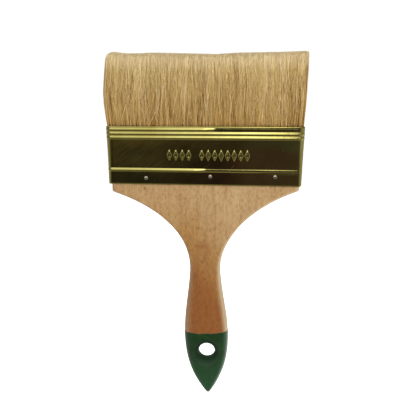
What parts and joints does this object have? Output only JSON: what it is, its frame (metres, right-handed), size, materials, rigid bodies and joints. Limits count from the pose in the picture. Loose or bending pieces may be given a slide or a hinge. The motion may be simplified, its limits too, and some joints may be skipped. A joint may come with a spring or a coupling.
{
  "type": "wall paint brush",
  "caption": "Wide flat wall brush: shaped wooden handle with a dipped tip and hang hole, a beaded metal ferrule nailed on, and a full bank of natural bristle.",
  "frame": {"origin": "centre of the hang hole, on the brush's mid plane", "axes": "+Z along the handle towards the bristle tips, +X across the brush's width, -Y out of the front face, which carries the embossed row"},
  "size_m": [0.1534, 0.0222, 0.2686],
  "materials": {
    "handle_wood": "thin clear varnish over pale close-grained hardwood",
    "dip_lacquer": "glossy dark green dipped lacquer",
    "ferrule_metal": "bright brass-lacquered sheet with fine scratches",
    "nail_steel": "bright round-headed steel nails",
    "setting_resin": "cured amber-brown resin",
    "spacer_wood": "raw softwood strip",
    "bristle": "natural white hog bristle with paler split tips"
  },
  "bodies": {
    "root": {"handle": "handle_wood", "dip_coat": "dip_lacquer", "ferrule": "ferrule_metal", "nail_front_left": "nail_steel", "nail_front_centre": "nail_steel", "nail_front_right": "nail_steel", "nail_back_left": "nail_steel", "nail_back_centre": "nail_steel", "nail_back_right": "nail_steel", "bristle_setting": "setting_resin", "spacer_front": "spacer_wood", "spacer_rear": "spacer_wood", "bristle_front": "bristle", "bristle_middle": "bristle", "bristle_rear": "bristle"}
  },
  "joints": []
}
